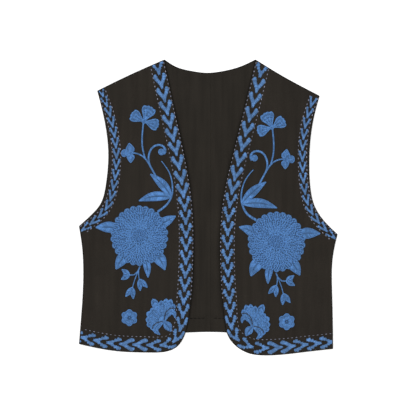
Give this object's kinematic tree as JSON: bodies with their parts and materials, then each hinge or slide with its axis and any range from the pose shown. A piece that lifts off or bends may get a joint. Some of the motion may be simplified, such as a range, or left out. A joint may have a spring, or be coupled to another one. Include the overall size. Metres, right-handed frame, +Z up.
{
  "type": "embroidered vest",
  "caption": "Cropped sleeveless vest in black cloth with blue flower and chevron embroidery, open at the front with rounded corners, laid flat.",
  "frame": {"origin": "middle of the bounding box, on the surface that the vest lies on", "axes": "+Y towards the neck, +Z up from the surface, out of the fronts; +X to the right as seen from above, which is the wearer's left"},
  "size_m": [0.4555, 0.5214, 0.0077],
  "materials": {
    "front_cloth": "matt black-brown cloth with a short nap",
    "back_cloth": "matt black-brown cloth, inside of the back",
    "flower_thread": "blue embroidery thread",
    "border_thread": "blue embroidery thread, slightly lighter"
  },
  "bodies": {
    "root": {"back_left": "back_cloth", "front_left": "front_cloth", "border_left": "border_thread", "armhole_border_left": "border_thread", "blossom_left": "flower_thread", "sprig_left": "flower_thread", "buds_left": "flower_thread", "palmette_left": "flower_thread", "rosette_left": "flower_thread", "back_right": "back_cloth", "front_right": "front_cloth", "border_right": "border_thread", "armhole_border_right": "border_thread", "blossom_right": "flower_thread", "sprig_right": "flower_thread", "buds_right": "flower_thread", "palmette_right": "flower_thread", "rosette_right": "flower_thread"}
  },
  "joints": []
}
